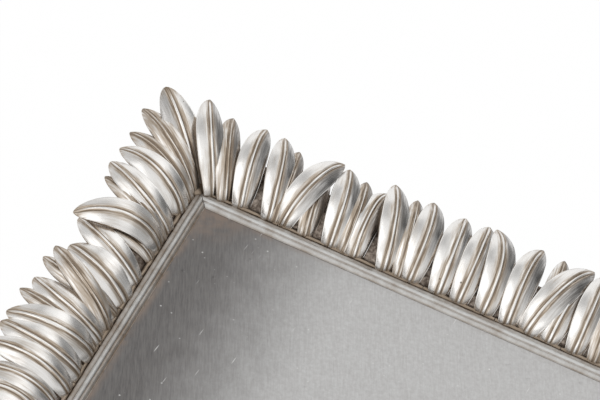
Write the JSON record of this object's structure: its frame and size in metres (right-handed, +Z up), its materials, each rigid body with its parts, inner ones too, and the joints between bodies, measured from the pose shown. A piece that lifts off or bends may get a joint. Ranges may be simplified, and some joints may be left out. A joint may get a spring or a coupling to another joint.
{
  "type": "rectangular salver",
  "caption": "Rectangular salver: a flat satin well inside a bead moulding, with a broad border of overlapping, arching cast leaves in antiqued silver, on low feet.",
  "frame": {"origin": "centre of the plane that the four feet stand on", "axes": "+X along the long sides, +Y along the short sides towards the back, +Z up out of the well"},
  "size_m": [0.3882, 0.2888, 0.0238],
  "materials": {
    "leaf_silver": "antiqued cast silver, bright on the crowns, with brown patina in the grooves",
    "bead_silver": "antiqued silver, rubbed bright along the bead, brown in its grooves",
    "satin_silver": "satin silver with fine scratches and small casting pimples",
    "patina": "rough cast silver left dark brown by the antiquing"
  },
  "bodies": {
    "root": {"back_leaves_left_1": "leaf_silver", "back_leaves_left_2": "leaf_silver", "back_leaves_left_3": "leaf_silver", "back_leaves_left_4": "leaf_silver", "back_leaves_left_5": "leaf_silver", "back_leaves_middle": "leaf_silver", "back_leaves_right_1": "leaf_silver", "back_leaves_right_2": "leaf_silver", "back_leaves_right_3": "leaf_silver", "back_leaves_right_4": "leaf_silver", "back_leaves_right_5": "leaf_silver", "bead_moulding_back": "bead_silver", "bead_moulding_front": "bead_silver", "bead_moulding_left": "bead_silver", "bead_moulding_right": "bead_silver", "border_rail_back": "patina", "border_rail_front": "patina", "border_rail_left": "patina", "border_rail_right": "patina", "corner_leaves_back_left": "leaf_silver", "corner_leaves_back_right": "leaf_silver", "corner_leaves_front_left": "leaf_silver", "corner_leaves_front_right": "leaf_silver", "foot_back_left": "satin_silver", "foot_back_right": "satin_silver", "foot_front_left": "satin_silver", "foot_front_right": "satin_silver", "front_leaves_left_1": "leaf_silver", "front_leaves_left_2": "leaf_silver", "front_leaves_left_3": "leaf_silver", "front_leaves_left_4": "leaf_silver", "front_leaves_left_5": "leaf_silver", "front_leaves_middle": "leaf_silver", "front_leaves_right_1": "leaf_silver", "front_leaves_right_2": "leaf_silver", "front_leaves_right_3": "leaf_silver", "front_leaves_right_4": "leaf_silver", "front_leaves_right_5": "leaf_silver", "left_leaves_back_1": "leaf_silver", "left_leaves_back_2": "leaf_silver", "left_leaves_back_3": "leaf_silver", "left_leaves_back_4": "leaf_silver", "left_leaves_front_1": "leaf_silver", "left_leaves_front_2": "leaf_silver", "left_leaves_front_3": "leaf_silver", "left_leaves_front_4": "leaf_silver", "left_leaves_middle": "leaf_silver", "right_leaves_back_1": "leaf_silver", "right_leaves_back_2": "leaf_silver", "right_leaves_back_3": "leaf_silver", "right_leaves_back_4": "leaf_silver", "right_leaves_front_1": "leaf_silver", "right_leaves_front_2": "leaf_silver", "right_leaves_front_3": "leaf_silver", "right_leaves_front_4": "leaf_silver", "right_leaves_middle": "leaf_silver", "well_plate": "satin_silver"}
  },
  "joints": []
}
